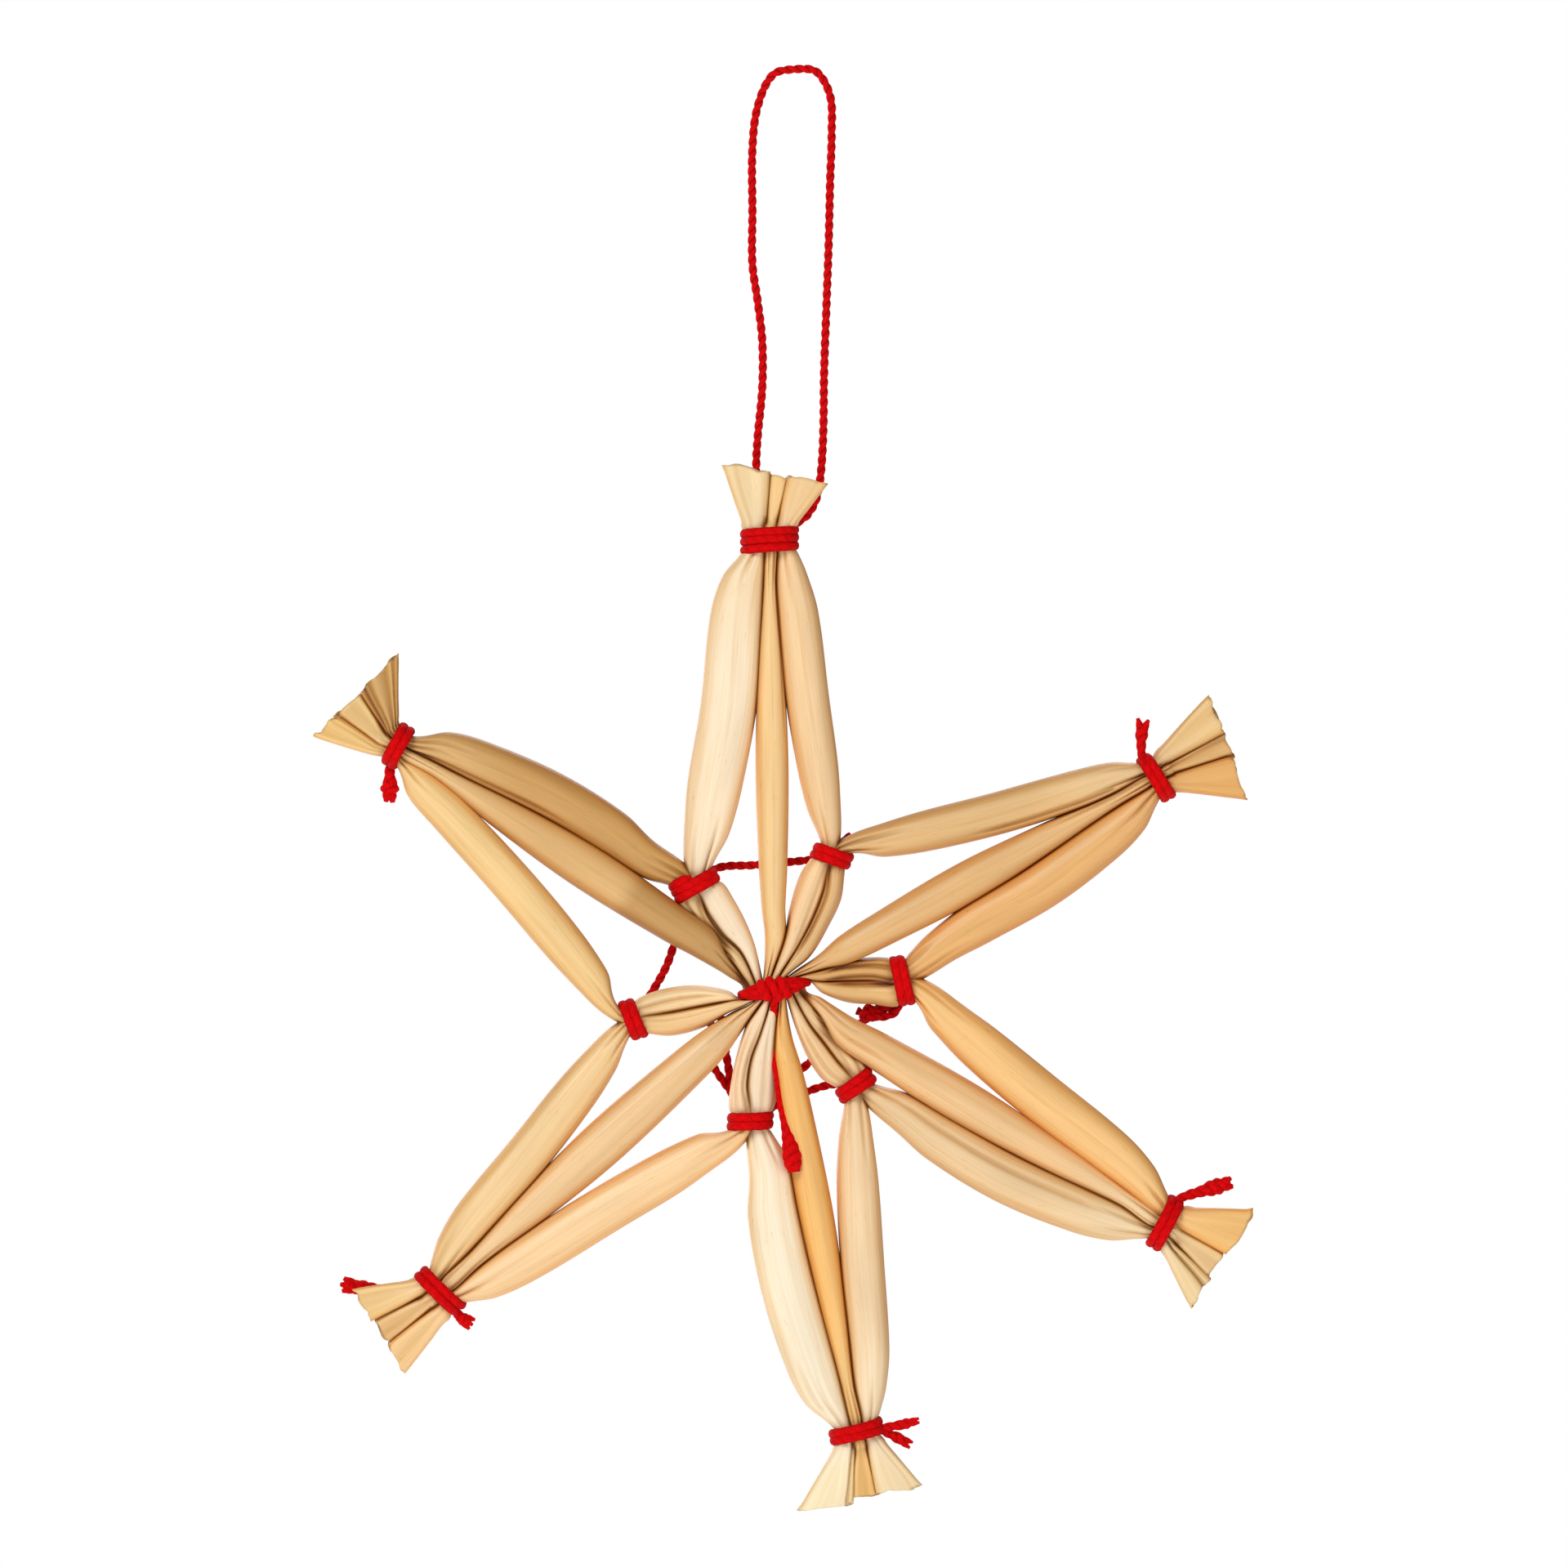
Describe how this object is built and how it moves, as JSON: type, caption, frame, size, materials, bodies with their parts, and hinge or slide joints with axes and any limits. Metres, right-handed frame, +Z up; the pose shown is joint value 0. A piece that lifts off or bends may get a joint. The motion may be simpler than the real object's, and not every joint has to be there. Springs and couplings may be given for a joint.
{
  "type": "straw star ornament",
  "caption": "Flat six-pointed star of natural straws tied with red thread, with fringed tips and a thread loop to hang it by.",
  "frame": {"origin": "inside the top of the hanging loop, where a twig or hook carries it", "axes": "+Z up; the star lies in the XZ plane and its front faces -Y"},
  "size_m": [0.0621, 0.0037, 0.0953],
  "materials": {
    "straw": "natural dried straw, satin, with fine lengthwise fibres",
    "red_thread": "matte twisted cotton thread"
  },
  "bodies": {
    "root": {"straw_1": "straw", "straw_2": "straw", "straw_3": "straw", "straw_4": "straw", "straw_5": "straw", "straw_6": "straw", "straw_7": "straw", "straw_8": "straw", "straw_9": "straw", "tip_tie_1": "red_thread", "tip_tie_2": "red_thread", "tip_tie_3": "red_thread", "tip_tie_4": "red_thread", "tip_tie_5": "red_thread", "tip_tie_6": "red_thread", "binding_thread": "red_thread", "centre_tie": "red_thread", "hanging_loop": "red_thread"}
  },
  "joints": []
}
